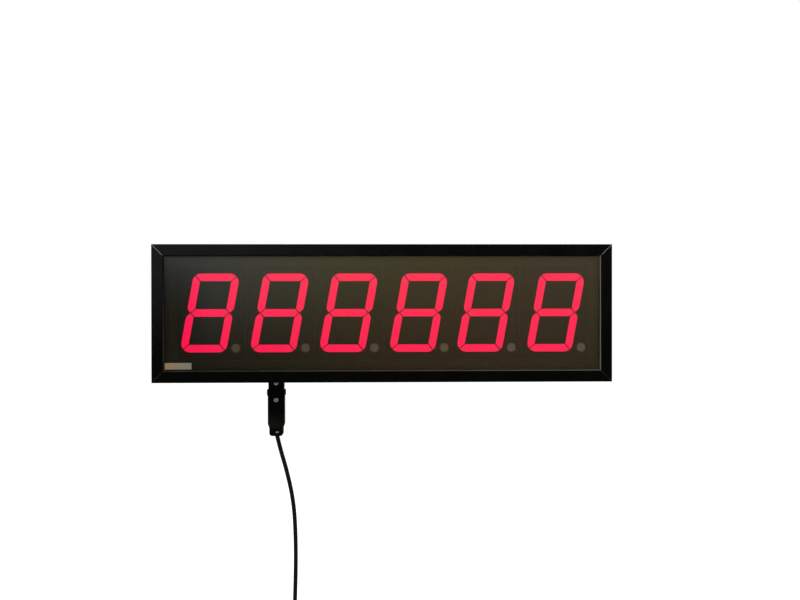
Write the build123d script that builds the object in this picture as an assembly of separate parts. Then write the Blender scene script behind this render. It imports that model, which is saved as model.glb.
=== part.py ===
from build123d import *
import math
import os

os.makedirs("parts", exist_ok=True)

# A six-digit LED numeric display in a mitred aluminium frame, made to hang on a wall.
# Millimetres. X runs to the right seen from the front, the front faces -Y and Z is up.
# The origin is on the back face, at the middle of the four wall inserts.

# Case: 580 wide and 174 high, worked out below from the digits and these margins
end_margin = 27.47  # from the row of digit modules to the outside
top_margin = 28.0
depth = 75.0
frame_depth = 30.0
face_width = 14.0
lip = 2.2  # front lip of the bars
outer_wall = 1.8
web = 1.6  # inner walls of the bar section
groove_depth = 5.0  # glazing groove, from the inner edge of the bar
bead_depth = 1.2
bead_show = 1.1  # how far the bead shows past the lip
glass = 3.0
glass_slack = 0.2
key_room = 10.0  # depth of the chamber that takes the corner keys
key_arm = 26.0
key_slack = 0.15
port_middle = 7.2  # screw port, from the outer edge of the bar
port_width = 3.0

# Rear tray, folded from sheet
sheet = 1.2
tray_inset = 16.0  # from the outside of the frame
flange_inset = 2.0
bend = 2.0
vent_count = 9
vent_pitch = 9.0
vent_width = 3.0
vent_length = 22.0
vent_inset = 69.0  # from the tray's end to the middle of a row of vents

# Wall inserts
insert_span_x = 400.0
insert_span_z = 100.0
insert_bore = 5.0
insert_body = 9.0
insert_collar = 12.0
insert_length = 14.0

# Digits
digit_count = 6
digit_shift = 0.6  # the row of digits, from the middle of the case
digit_rise = 0.6  # the row of digits, above the middle of the case
digit_drift = (0.3, 0.3, -0.2, 0.8, -1.4, 0.1)  # each module's own place, fitted by hand
digit_height = 99.5
digit_width = 58.4
stroke = 9.7
corner_cut = 6.4
corner_round = 3.0
segment_gap = 1.1
slant = 10.4
point_across = 11.0
point_clear = 5.8  # from the lower right bar to the decimal point
case_side = 3.1
case_end = 9.25
case_gap = 4.64  # between modules
case_depth = 15.0
case_wall = 2.0
case_round = 1.5
lens_depth = 3.0
glass_gap = 2.6  # window to digits
well_taper = 4.0
chip_size = 3.0
chip_rise = 1.1
pin_size = 0.7
pin_hole = 1.0
pin_pitch = 10.16
pin_rows_apart = 101.6
pins_per_row = 5

# Boards
board = 1.6
board_margin = 4.0  # display board, inside the frame
post_across = 5.5
post_bore = 2.5
post_inset = 14.0  # end posts, inside the frame
short_post = 8.0
driver_length = 18.0
driver_width = 7.5
driver_rise = 2.4
driver_level = 34.0
power_x = -118.0
power_rise = 65.0  # middle of the power board, above the tray's floor
power_size = (112.0, 86.0)
control_middle = (92.0, -6.0)
control_size = (124.0, 78.0)
board_post_edge = 4.5
# parts standing on the boards: width, rise and height, and their places from the board's middle
transformer_size = (57.0, 28.0, 48.0)
transformer_from = (-14.0, 12.0)
can_across = 16.0
can_rise = 25.0
can_places = [(31.0, 26.0), (31.0, 6.0)]
sink_size = (34.0, 25.0, 14.0)
sink_from = (38.0, -27.0)
fin_pitch = 5.0
fin_gap = 3.0
fin_depth = 9.0
regulator_size = (10.0, 16.0, 4.8)
fuse_size = (26.0, 11.0, 9.0)
fuse_from = (5.0, -23.0)
terminal_size = (19.0, 12.0, 10.0)
terminal_drop = 30.0
wire_bore = 2.7
processor_size = (20.0, 2.2, 20.0)
processor_from = (-8.0, 4.0)
header_size = (9.0, 9.0, 36.0)
header_from = (-44.0, 4.0)
screw_head = 5.4
screw_shank = 2.4

# Supply inlet and connector
inlet_x = -137.4
inlet_y = -24.0
inlet_width = 20.3
inlet_depth = 16.0
inlet_drop = 28.2  # below the tray's floor
inlet_rise = 12.0  # above it
inlet_flange = 30.0
inlet_wall = 1.85
inlet_cheek = 2.9
pin_spacing = 5.6
contact_pin = 2.0
sleeve_wall = 0.5
tongue_rise = 14.0
tongue_slack = 0.3
plug_step = 0.7  # the connector stands out this much past the inlet at each side
plug_length = 59.9
ear_reach = 1.05
ear_height = 8.0
neck_step = 1.9
neck_length = 10.5
shoulder_length = 5.1
plug_wall = 2.0
plug_round = 1.2
foot_round = 4.0
inlet_screw_rise = 8.9
plug_screw_drop = 12.9
plug_screw_head = 5.8

# Supply cable. Its route is chosen point by point from the photograph down to the coil,
# as X and Z from the middle of the connector's foot.
cable = 5.6
cable_slack = 0.2
cable_route = [
    (-1.2, 13.3),
    (4.4, -10.7),
    (16.4, -47.7),
    (23.2, -86.7),
    (25.0, -126.7),
    (24.6, -169.7),
    (23.6, -207.3),
    (23.1, -224.3),
    (25.3, -232.7),
    (29.7, -240.2),
    (35.9, -246.4),
]
coil_from_foot = (12.6, -262.7)
turn_slack = 0.1
coil_inner_turn = 28.0
outer_rows = 1.9  # from the inner turns to the outermost, in turns
tail_route = [(0.0, -4.0), (0.5, -22.0), (0.5, -38.0)]  # from the coil's right side
tie_width = 4.0
tie_thick = 1.2

# Mains plug on the far end
relief_length = 30.0
relief_wall = 1.5
relief_foot = 13.0
mains_body = 37.0
mains_length = 38.0
mains_pin = 4.8
mains_pin_length = 19.0
mains_pin_spacing = 19.0
earth_width = 6.0

# Sizes that follow
lean_rise = math.tan(math.radians(slant))
case_width = digit_width + digit_height * lean_rise + 2 * case_side
case_height = digit_height + 2 * case_end
digit_pitch = case_width + case_gap
point_offset = digit_width / 2 + point_clear + point_across / 2
width = digit_count * digit_pitch + 2 * end_margin
height = case_height + 2 * top_margin
front = -depth
frame_back = front + frame_depth
inner_x = width / 2 - face_width
inner_z = height / 2 - face_width
groove_x = inner_x + groove_depth
groove_z = inner_z + groove_depth
bead_front = front + lip
glass_front = bead_front + bead_depth
glass_back = glass_front + glass
groove_back = lip + bead_depth + glass + glass_slack
port_start = groove_back + web + key_room + web
digit_front = glass_back + glass_gap
digit_back = digit_front + case_depth
display_back = digit_back + board
tray_x = width / 2 - tray_inset
tray_z = height / 2 - tray_inset
boards_front = -sheet - short_post - board
power_middle = (power_x, power_rise - tray_z)
inlet_bottom = -tray_z - inlet_drop
inlet_top = inlet_rise - tray_z
tongue_width = inlet_width - 2 * inlet_wall - 2 * tongue_slack
tongue_depth = inlet_depth - 2 * inlet_cheek - 2 * tongue_slack
tongue_top = inlet_bottom + tongue_rise
plug_width = inlet_width + 2 * plug_step
plug_depth = inlet_depth + 1.0
plug_bottom = inlet_bottom - plug_length
neck_width = plug_width - 2 * neck_step
neck_top = plug_bottom + neck_length
shoulder_top = neck_top + shoulder_length
plug_front = inlet_y - plug_depth / 2
turn_step = cable + turn_slack
coil_x = inlet_x + coil_from_foot[0]
coil_z = plug_bottom + coil_from_foot[1]
coil_edge = cable / 2 + turn_slack
coil_inside = coil_inner_turn - coil_edge
coil_outside = coil_inner_turn + outer_rows * turn_step + coil_edge
tail_x = coil_x + coil_inner_turn + outer_rows * turn_step
tail_y = inlet_y - 1.5 * turn_step


def put(shape, name):
    export_step(shape, f"parts/{name}.step")


def block(x, y, z, size_x, size_y, size_z):
    """A box given by its middle in X and Z and its front face in Y."""
    return Pos(x, y + size_y / 2, z) * Box(size_x, size_y, size_z)


def rod(x, y, z, across, length):
    """A round bar along Y, given by its front end."""
    return Pos(x, y + length / 2, z) * Rot(90, 0, 0) * Cylinder(across / 2, length)


def upright(x, y, z, across, length):
    """A round bar along Z, given by its lower end."""
    return Pos(x, y, z + length / 2) * Cylinder(across / 2, length)


def group(shapes):
    return Compound(children=list(shapes))


def bar_section():
    """The extrusion's section: sideways is the depth from the front, down is inward."""
    port_near = port_middle - port_width / 2
    port_far = port_middle + port_width / 2
    floor = face_width - groove_depth
    back = frame_depth
    outline = [
        (0, 0),
        (0, face_width),
        (lip, face_width),
        (lip, floor),
        (groove_back, floor),
        (groove_back, face_width),
        (back, face_width),
        (back, face_width - web),
        (port_start, face_width - web),
        (port_start, port_far + web),
        (back, port_far + web),
        (back, port_far),
        (port_start, port_far),
        (port_start, port_near),
        (back, port_near),
        (back, port_near - web),
        (port_start, port_near - web),
        (port_start, outer_wall),
        (back, outer_wall),
        (back, 0),
    ]
    section = make_face(Polyline(*[(y, -u) for y, u in outline], close=True))
    corners = section.vertices()
    section = fillet(corners.sort_by_distance((0, 0, 0))[0], 1.0)
    section = fillet(section.vertices().sort_by_distance((0, -face_width, 0))[0], 0.5)
    key_hole = Pos(groove_back + web + key_room / 2, -(outer_wall + face_width - web) / 2) * Rectangle(
        key_room, face_width - web - outer_wall
    )
    front_hole = Pos((lip + groove_back) / 2, -(outer_wall + floor - web) / 2) * Rectangle(
        groove_back - lip, floor - web - outer_wall
    )
    return section - key_hole - front_hole


def frame_bar(length):
    """A bar along X with its outer edge on top, mitred at both ends."""
    bar = extrude(Plane.YZ * bar_section(), amount=length / 2, both=True)
    ends = Polyline(
        (-length / 2, 0),
        (length / 2, 0),
        (length / 2 - face_width, -face_width),
        (face_width - length / 2, -face_width),
        close=True,
    )
    mitred = extrude(Plane.XZ * make_face(ends), amount=-frame_depth)
    return bar & mitred


def frame():
    across = frame_bar(width)
    upward = frame_bar(height)
    put(Pos(0, front, height / 2) * across, "frame_top")
    put(Pos(0, front, -height / 2) * Rot(0, 180, 0) * across, "frame_bottom")
    put(Pos(-width / 2, front, 0) * Rot(0, -90, 0) * upward, "frame_left")
    put(Pos(width / 2, front, 0) * Rot(0, 90, 0) * upward, "frame_right")


def corner_keys():
    near = outer_wall + key_slack
    far = face_width - web - key_slack
    outline = Polyline(
        (near, near),
        (key_arm, near),
        (key_arm, far),
        (far, far),
        (far, key_arm),
        (near, key_arm),
        close=True,
    )
    key = extrude(Plane.XZ * make_face(outline), amount=-(key_room - 2 * key_slack))
    key = Pos(0, front + groove_back + web + key_slack, 0) * key
    keys = []
    for side in (-1, 1):
        for level in (-1, 1):
            turned = key if side < 0 else mirror(key, about=Plane.YZ)
            turned = turned if level < 0 else mirror(turned, about=Plane.XY)
            keys.append(Pos(side * width / 2, 0, level * height / 2) * turned)
    put(group(keys), "corner_keys")


def glazing():
    half_x = groove_x - glass_slack
    half_z = groove_z - glass_slack
    put(block(0, glass_front, 0, 2 * half_x, glass, 2 * half_z), "window")
    ring = block(0, bead_front, 0, 2 * half_x, bead_depth, 2 * half_z)
    opening = block(0, bead_front, 0, 2 * (inner_x - bead_show), bead_depth, 2 * (inner_z - bead_show))
    put(ring - opening, "window_bead")


def flange_places():
    """Where screws go through the tray's flange into the screw ports."""
    edge_x = width / 2 - port_middle
    edge_z = height / 2 - port_middle
    places = [(x * width / 8, z * edge_z) for x in (-3, -1, 1, 3) for z in (-1, 1)]
    return places + [(x * edge_x, z * height / 4) for x in (-1, 1) for z in (-1, 1)]


def insert_places():
    return [(x * insert_span_x / 2, z * insert_span_z / 2) for x in (-1, 1) for z in (-1, 1)]


def rear_tray():
    deep = -frame_back
    shell = block(0, frame_back, 0, 2 * tray_x, deep, 2 * tray_z)
    outside = fillet(shell.faces().sort_by(Axis.Y)[-1].edges(), bend)
    room = block(0, frame_back, 0, 2 * (tray_x - sheet), deep - sheet, 2 * (tray_z - sheet))
    room = fillet(room.faces().sort_by(Axis.Y)[-1].edges(), bend - sheet)
    flange = block(0, frame_back, 0, width - 2 * flange_inset, sheet, height - 2 * flange_inset)
    tray = outside + flange - room
    tray -= [rod(x, frame_back - sheet, z, 3.8, 3 * sheet) for x, z in flange_places()]
    tray -= [rod(x, -2 * sheet, z, insert_body, 3 * sheet) for x, z in insert_places()]
    slot = extrude(SlotOverall(vent_length, vent_width, rotation=90), amount=3 * sheet)
    slot_y = frame_back / 2 - 2
    for side in (-1, 1):
        for n in range(vent_count):
            x = side * (tray_x - vent_inset) + (n - (vent_count - 1) / 2) * vent_pitch
            tray -= Pos(x, slot_y, tray_z - 2 * sheet) * slot
            tray -= Pos(x, slot_y, -tray_z - sheet) * slot
    hole = Box(inlet_width + 2 * cable_slack, inlet_depth + 2 * cable_slack, 4 * sheet)
    put(tray - Pos(inlet_x, inlet_y, -tray_z) * hole, "rear_tray")


def pan_screw(x, y, z, head, shank, length, rise):
    """A screw along Y with its head towards +Y, seated at y."""
    top = rod(x, y, z, head, rise)
    top = chamfer(top.edges().sort_by(Axis.Y)[-1], rise * 0.4)
    socket = rod(x, y + rise * 0.5, z, head * 0.36, rise)
    return top - socket + rod(x, y - length, z, shank, length)


def front_screw(x, y, z, head, shank, length, rise):
    """A screw along Y with its head towards the front, seated at y."""
    return mirror(pan_screw(x, -y, z, head, shank, length, rise), about=Plane.XZ)


def tray_screws():
    seat = frame_back + sheet
    shank = port_width - 0.2
    length = sheet + frame_depth - port_start - 1.9
    put(group(pan_screw(x, seat, z, 6.4, shank, length, 2.2) for x, z in flange_places()), "tray_screws")


def wall_inserts():
    nuts = []
    for x, z in insert_places():
        nut = rod(x, -insert_length, z, insert_body, insert_length)
        nut += rod(x, -sheet - 3.0, z, insert_collar, 3.0)
        nuts.append(nut - rod(x, -insert_length - 1, z, insert_bore, insert_length + 2))
    put(group(nuts), "wall_inserts")


def segment_outlines():
    """The seven bars of an upright digit: mitred at the corners, pointed at the waist."""
    a = digit_width / 2
    b = digit_height / 2
    t = stroke
    c = corner_cut
    h = segment_gap / math.sqrt(2)
    top_left = [(t - a + h, b - t), ((c + h) / 2 - a, b - (c - h) / 2), (c - a, b)]
    top = top_left + [(-x, z) for x, z in reversed(top_left)]
    upper_left = [
        (-a, b - c),
        ((c - h) / 2 - a, b - (c + h) / 2),
        (t - a, b - t - h),
        (t - a, t / 2 + h),
        ((t - h) / 2 - a, h / 2),
        (-a, t / 2),
    ]
    waist_left = [(t - a + h, -t / 2), (t / 2 - a + h, 0), (t - a + h, t / 2)]
    waist = waist_left + [(-x, z) for x, z in reversed(waist_left)]
    upper_right = [(-x, z) for x, z in upper_left]
    lower = [[(x, -z) for x, z in bar] for bar in (upper_left, upper_right, top)]
    return [top, upper_left, upper_right, waist] + lower


def lean(x, z):
    return x + z * lean_rise, z


def segment_face(outline):
    """One bar's face, leaning, with the outside corners of the digit rounded."""
    face = make_face(Polyline(*[lean(x, z) for x, z in outline], close=True))
    cut_corners = [
        lean(x * (digit_width / 2 - dx), z * (digit_height / 2 - dz))
        for x in (-1, 1)
        for z in (-1, 1)
        for dx, dz in ((0, corner_cut), (corner_cut, 0))
    ]
    outer = [
        v
        for v in face.vertices()
        if min(math.dist((v.X, v.Y), corner) for corner in cut_corners) < 0.01
    ]
    return fillet(outer, corner_round) if outer else face


def digit_x(n):
    return digit_shift + (n - (digit_count - 1) / 2) * digit_pitch + digit_drift[n]


def pin_places():
    columns = [(i - (pins_per_row - 1) / 2) * pin_pitch for i in range(pins_per_row)]
    return [(x, z) for x in columns for z in (-pin_rows_apart / 2, pin_rows_apart / 2)]


def chip_places(outline):
    """Two light chips on the middle line of one bar."""
    xs = [x for x, z in outline]
    zs = [z for x, z in outline]
    mid_x, mid_z = sum(xs) / len(xs), sum(zs) / len(zs)
    across = max(xs) - min(xs) > max(zs) - min(zs)
    step = digit_width / 6
    return [lean(mid_x + s * step * across, mid_z + s * step * (not across)) for s in (-1, 1)]


def digits():
    """Six modules: a moulded case with tapered wells, and a cast lens in each well."""
    outlines = segment_outlines()
    point_x, point_z = lean(point_offset, (point_across - digit_height) / 2)
    point = Pos(point_x, point_z) * Circle(point_across / 2)
    board_front = digit_back - 0.4 - board
    well_depth = board_front - digit_front
    wells = [
        extrude(Plane.XZ * segment_face(outline), amount=-well_depth, taper=well_taper)
        for outline in outlines
    ]
    point_well = extrude(Plane.XZ * point, amount=-well_depth, taper=well_taper)
    body = block(0, 0, 0, case_width, case_depth, case_height)
    body = fillet(body.edges().filter_by(Axis.Y), case_round)
    inner_w = case_width - 2 * case_wall
    inner_h = case_height - 2 * case_wall
    pocket = block(0, well_depth, 0, inner_w, case_depth - well_depth, inner_h)
    body = body - pocket - wells - point_well
    face = block(0, 0, 0, case_width, lens_depth, case_height)
    lenses = group(well & face for well in wells)
    point_lens = point_well & face
    boards, chips, pins, points = [], [], [], []
    for n in range(digit_count):
        place = Pos(digit_x(n), digit_front, digit_rise)
        put(place * body, f"digit_case_{n + 1}")
        put(place * lenses, f"digit_segments_{n + 1}")
        points.append(place * point_lens)
        boards.append(place * block(0, well_depth, 0, inner_w - 0.4, board, inner_h - 0.4))
        spots = [spot for outline in outlines for spot in chip_places(outline)]
        spots.append((point_x, point_z))
        for x, z in spots:
            chips.append(place * block(x, well_depth - chip_rise, z, chip_size, chip_rise, chip_size))
        for x, z in pin_places():
            pins.append(place * block(x, well_depth + board, z, pin_size, 0.4 + board + 1.5, pin_size))
    put(group(points), "decimal_points")
    put(group(boards), "digit_boards")
    put(group(chips), "light_chips")
    put(group(pins), "digit_pins")


def display_post_places():
    level = case_height / 2 + abs(digit_rise) + screw_head / 2 + 0.6
    end = inner_x - post_inset
    return [(x, z) for x in (-end, 0, end) for z in (-level, level)]


def display_board():
    half_x = inner_x - board_margin
    half_z = inner_z - board_margin
    plate = block(0, digit_back, 0, 2 * half_x, board, 2 * half_z)
    holes = []
    for n in range(digit_count):
        for x, z in pin_places():
            holes.append(block(digit_x(n) + x, digit_back - 1, z + digit_rise, pin_hole, board + 2, pin_hole))
    holes += [rod(x, digit_back - 1, z, 3.2, board + 2) for x, z in display_post_places()]
    put(plate - holes, "display_board")
    drivers = []
    for n in range(digit_count):
        body = block(digit_x(n), display_back, driver_level, driver_length, driver_rise, driver_width)
        body = chamfer(body.faces().sort_by(Axis.Y)[-1].edges(), 0.5)
        drivers.append(body)
    put(group(drivers), "driver_chips")


def post(x, z, y, length):
    """A six-sided spacer along Y from y to the tray's back wall."""
    hexagon = extrude(Plane.XZ * RegularPolygon(post_across / 2, 6), amount=-length)
    return Pos(x, y, z) * hexagon - rod(x, y - 1, z, post_bore, min(length, 8.0) + 1)


def board_corners(middle, size):
    half_x = size[0] / 2 - board_post_edge
    half_z = size[1] / 2 - board_post_edge
    return [(middle[0] + x * half_x, middle[1] + z * half_z) for x in (-1, 1) for z in (-1, 1)]


def posts_and_screws():
    long_post = -sheet - display_back
    put(group(post(x, z, display_back, long_post) for x, z in display_post_places()), "display_posts")
    corners = board_corners(power_middle, power_size) + board_corners(control_middle, control_size)
    put(group(post(x, z, -sheet - short_post, short_post) for x, z in corners), "board_posts")
    length = board + 5.0
    screws = [
        front_screw(x, digit_back, z, screw_head, screw_shank, length, 1.8) for x, z in display_post_places()
    ]
    screws += [front_screw(x, boards_front, z, screw_head, screw_shank, length, 1.8) for x, z in corners]
    put(group(screws), "board_screws")


def small_board(middle, size, name):
    plate = block(middle[0], boards_front, middle[1], size[0], board, size[1])
    holes = [rod(x, boards_front - 1, z, 3.2, board + 2) for x, z in board_corners(middle, size)]
    put(plate - holes, name)


def electronics():
    """What stands on the two small boards, each piece on the board's front face."""
    small_board(power_middle, power_size, "power_board")
    small_board(control_middle, control_size, "control_board")
    px, pz = power_middle
    cx, cz = control_middle

    def standing(x, z, size_x, rise, size_z):
        return block(x, boards_front - rise, z, size_x, rise, size_z)

    potted = standing(px + transformer_from[0], pz + transformer_from[1], *transformer_size)
    put(fillet(potted.faces().sort_by(Axis.Y)[0].edges(), 1.5), "transformer")
    cans = []
    for x, z in can_places:
        can = rod(px + x, boards_front - can_rise, pz + z, can_across, can_rise)
        cans.append(chamfer(can.edges().sort_by(Axis.Y)[0], 1.0))
    put(group(cans), "capacitors")
    sink_x, sink_z = px + sink_from[0], pz + sink_from[1]
    sink = standing(sink_x, sink_z, *sink_size)
    fin_low = sink_z - (sink_size[2] - fin_depth) / 2
    sink -= [standing(sink_x + fin_pitch * i, fin_low, fin_gap, sink_size[1], fin_depth) for i in range(-3, 4)]
    put(sink, "heat_sink")
    regulator_z = sink_z + (sink_size[2] + regulator_size[2]) / 2
    put(standing(sink_x, regulator_z, *regulator_size), "regulator")
    holder = standing(px + fuse_from[0], pz + fuse_from[1], *fuse_size)
    put(fillet(holder.faces().sort_by(Axis.Y)[0].edges(), 1.5), "fuse_holder")
    block_x = inlet_x - 0.5
    block_z = pz - terminal_drop
    terminal = standing(block_x, block_z, *terminal_size)
    for i in (-1, 0, 1):
        x = block_x + i * pin_spacing
        terminal -= Pos(x, boards_front - 6, block_z - 5) * Cylinder(wire_bore / 2, 12)
        terminal -= rod(x, boards_front - terminal_size[1] - 1, block_z + 1, 3.4, 3)
    put(terminal, "terminal_block")
    chip = standing(cx + processor_from[0], cz + processor_from[1], *processor_size)
    put(chamfer(chip.faces().sort_by(Axis.Y)[0].edges(), 0.5), "processor")
    header_x, header_z = cx + header_from[0], cz + header_from[1]
    header_rise = header_size[1]
    header = standing(header_x, header_z, *header_size)
    upper = block(header_x, display_back, header_z, *header_size)
    put(group([header, upper]), "ribbon_headers")
    flat = ribbon(header_x, header_z, display_back + header_rise, boards_front - header_rise)
    put(flat, "ribbon_cable")


def ribbon(x, z, high, low):
    """A flat ribbon between two headers that face each other, with a slack fold to the left."""
    reach = 16.0
    thick = 1.0
    half = 15.0
    low_mid = low - thick / 2
    high_mid = high + thick / 2
    turn = (low_mid - high_mid) / 2
    path = Line((x + 4, high_mid), (x - reach, high_mid))
    path += JernArc((x - reach, high_mid), (-1, 0), turn, -180)
    path += Line((x - reach, low_mid), (x + 4, low_mid))
    strip = trace(path, line_width=thick)
    return Pos(0, 0, z - half) * extrude(strip, amount=2 * half)


def core_wire(points, radii, across):
    path = FilletPolyline(*points, radius=radii)
    start = Plane(origin=path @ 0, z_dir=path % 0)
    return sweep(start * Circle(across / 2), path=path)


def inlet():
    """The appliance inlet that hangs through the tray's floor, with its three pins."""
    body_mid = (inlet_top + inlet_bottom) / 2
    body = Pos(inlet_x, inlet_y, body_mid) * Box(inlet_width, inlet_depth, inlet_top - inlet_bottom)
    body = fillet(body.edges().filter_by(Axis.Z), plug_round)
    plate = Pos(inlet_x, inlet_y, -tray_z - 1.5) * Box(inlet_flange, inlet_depth + 4, 3.0)
    body += plate
    room = Box(tongue_width + 2 * tongue_slack, tongue_depth + 2 * tongue_slack, tongue_rise + tongue_slack)
    body -= Pos(inlet_x, inlet_y, inlet_bottom + (tongue_rise + tongue_slack) / 2) * room
    pin_top = inlet_top + 4.0
    pin_length = pin_top - inlet_bottom + 5.0
    pins = []
    for i in (-1, 0, 1):
        x = inlet_x + i * pin_spacing
        body -= upright(x, inlet_y, inlet_bottom, contact_pin, inlet_top - inlet_bottom + 1)
        pins.append(upright(x, inlet_y, pin_top - pin_length, contact_pin, pin_length))
    face_y = inlet_y - inlet_depth / 2
    screw_z = inlet_bottom + inlet_screw_rise
    body -= rod(inlet_x, face_y - 1, screw_z, 2.5, 3.4)
    put(body, "inlet_body")
    put(group(pins), "inlet_pins")
    put(front_screw(inlet_x, face_y, screw_z, plug_screw_head, 2.4, 2.2, 1.2), "inlet_screw")
    target_z = power_middle[1] - terminal_drop - terminal_size[2] / 2
    wires = []
    for i in (-1, 0, 1):
        x = inlet_x + i * pin_spacing
        end_x = inlet_x - 0.5 + i * pin_spacing
        points = [
            (x, inlet_y, pin_top),
            (x, inlet_y, pin_top + 5),
            (end_x, boards_front - 6, target_z - 5),
            (end_x, boards_front - 6, target_z + 3),
        ]
        wires.append(core_wire(points, [3.0, 3.0], 2.4))
    put(group(wires), "inlet_wires")


def connector_outline(grow):
    """The connector seen from the front, or its cavity when grow is negative."""
    ear = plug_width / 2 + ear_reach
    body = plug_width / 2 + grow
    neck = neck_width / 2 + grow
    ear_foot = inlet_bottom - ear_height
    half = [(0, inlet_bottom)]
    if grow == 0:
        half += [(ear, inlet_bottom), (ear, ear_foot + 1.0), (body, ear_foot)]
    else:
        half += [(body, inlet_bottom)]
    foot = plug_bottom - 2.5 * grow
    half += [(body, shoulder_top), (neck, neck_top), (neck, foot), (0, foot)]
    points = half + [(-x, z) for x, z in reversed(half[1:-1])]
    return make_face(Polyline(*[(x + inlet_x, z) for x, z in points], close=True))


def route_points():
    return [(inlet_x + x, inlet_y, plug_bottom + z) for x, z in cable_route]


def connector():
    """The cable connector: two shells, a contact block with sleeves, a clamp and cores."""
    solid = Pos(0, plug_front, 0) * extrude(Plane.XZ * connector_outline(0), amount=-plug_depth)
    foot = [e for e in solid.edges().filter_by(Axis.Y) if e.center().Z < plug_bottom + 0.1]
    solid = fillet(foot, foot_round)
    faces = solid.faces().sort_by(Axis.Y)
    solid = fillet(faces[0].edges() + faces[-1].edges(), plug_round * 0.8)
    cavity = extrude(Plane.XZ * connector_outline(-plug_wall), amount=-(plug_depth - 2 * plug_wall))
    solid -= Pos(0, plug_front + plug_wall, 0) * cavity
    first, second = [Vector(*point) for point in route_points()[:2]]
    lead_plane = Plane(origin=first, z_dir=second - first)
    lead = extrude(lead_plane * Circle(cable / 2), amount=20)
    solid -= extrude(lead_plane * Circle(cable / 2 + cable_slack), amount=20)
    screw_z = inlet_bottom - plug_screw_drop
    solid -= rod(inlet_x, plug_front - 1, screw_z, 2.8, 8)
    middle_z = (inlet_bottom + plug_bottom) / 2
    near = block(inlet_x, inlet_y - plug_depth, middle_z, 2 * plug_width, plug_depth, 2 * plug_length)
    grip = block(inlet_x, plug_front, shoulder_top + 5, plug_width * 0.52, 0.5, 0.9)
    front_half = solid & near
    front_half -= [Pos(0, 0, 2.4 * n) * grip for n in range(4)]
    put(front_half, "connector_front")
    put(solid - near, "connector_rear")
    screw = front_screw(inlet_x, plug_front, screw_z, plug_screw_head, 2.4, plug_wall + 1.6, 1.2)
    put(screw, "connector_screw")

    foot_z = inlet_bottom - 10.0
    mid = (tongue_top + foot_z) / 2
    insulator = Pos(inlet_x, inlet_y, mid) * Box(tongue_width, tongue_depth, tongue_top - foot_z)
    sleeves, cores = [], []
    outer = contact_pin + 0.1 + 2 * sleeve_wall
    for i in (-1, 0, 1):
        x = inlet_x + i * pin_spacing
        insulator -= upright(x, inlet_y, foot_z - 1, outer, tongue_top - foot_z + 2)
        sleeve = upright(x, inlet_y, foot_z - 4, outer, tongue_top - foot_z + 4)
        sleeves.append(sleeve - upright(x, inlet_y, foot_z + 3, contact_pin + 0.1, tongue_top - foot_z + 1))
        end_x = first.X + i * 1.7
        points = [
            (x, inlet_y, foot_z - 4),
            (x, inlet_y, foot_z - 14),
            (end_x, inlet_y, first.Z + 9),
            (end_x, inlet_y, first.Z - 1),
        ]
        cores.append(core_wire(points, [4.0, 4.0], 1.6) - lead)
    put(insulator, "contact_block")
    put(group(sleeves), "contact_sleeves")
    put(group(cores), "cable_cores")
    clamp_width = neck_width - 2 * plug_wall - 0.4
    clamp_depth = plug_depth - 2 * plug_wall - 0.4
    clamp = Pos(inlet_x, inlet_y, neck_top - 2.0) * Box(clamp_width, clamp_depth, 4.0)
    put(clamp - lead, "cable_clamp")


def bend_radii(points):
    """Each bend takes 0.45 of the shorter run beside it."""
    radii = []
    for a, b, c in zip(points, points[1:], points[2:]):
        before, after = Vector(*b) - Vector(*a), Vector(*c) - Vector(*b)
        turn = math.radians(before.get_angle(after))
        radii.append(0.45 * min(before.length, after.length) / math.tan(turn / 2))
    return radii


def cable_tube(points, name):
    radii = bend_radii(points)
    path = FilletPolyline(*points, radius=radii)
    start = Plane(origin=path @ 0, z_dir=path % 0)
    tube = sweep(start * Circle(cable / 2), path=path)
    share = tube.volume / (math.pi * cable**2 / 4 * path.length)
    print(f"{name}: {path.length:.1f} mm, radii {[round(r) for r in radii]}, volume share {share:.4f}")
    return tube


def coil_ring():
    """The outer shape of the wound cable: three turns side by side, two on them, one on those."""
    step = turn_step
    outline = [
        (coil_inside, coil_edge),
        (coil_inner_turn + coil_edge, coil_edge),
        (coil_inner_turn + step + coil_edge, coil_edge - step),
        (coil_outside, -step),
        (coil_outside, -2 * step),
        (coil_inner_turn + step + coil_edge, -2 * step - coil_edge),
        (coil_inside, -2 * step - coil_edge),
    ]
    ring = revolve(make_face(Polyline(*outline, close=True)), axis=Axis.Y)
    return Pos(coil_x, inlet_y, coil_z) * ring


def cord():
    ring = coil_ring()
    put(cable_tube(route_points(), "supply_cable") - ring, "supply_cable")
    tail_points = [(tail_x + x, tail_y, coil_z + z) for x, z in tail_route]
    put(cable_tube(tail_points, "cable_tail") - ring, "cable_tail")
    put(ring, "cable_coil")
    rim_high = coil_outside - coil_inside + 0.4
    rim_deep = 2 * turn_step + cable + 0.6
    band = Box(tie_width, rim_deep + 2 * tie_thick, rim_high + 2 * tie_thick)
    band = fillet(band.edges().filter_by(Axis.X), 2.0)
    band -= Box(tie_width, rim_deep, rim_high)
    band = Pos(coil_x - 4, inlet_y - turn_step, coil_z + (coil_inside + coil_outside) / 2) * band
    put(band - ring, "cable_tie")


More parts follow.
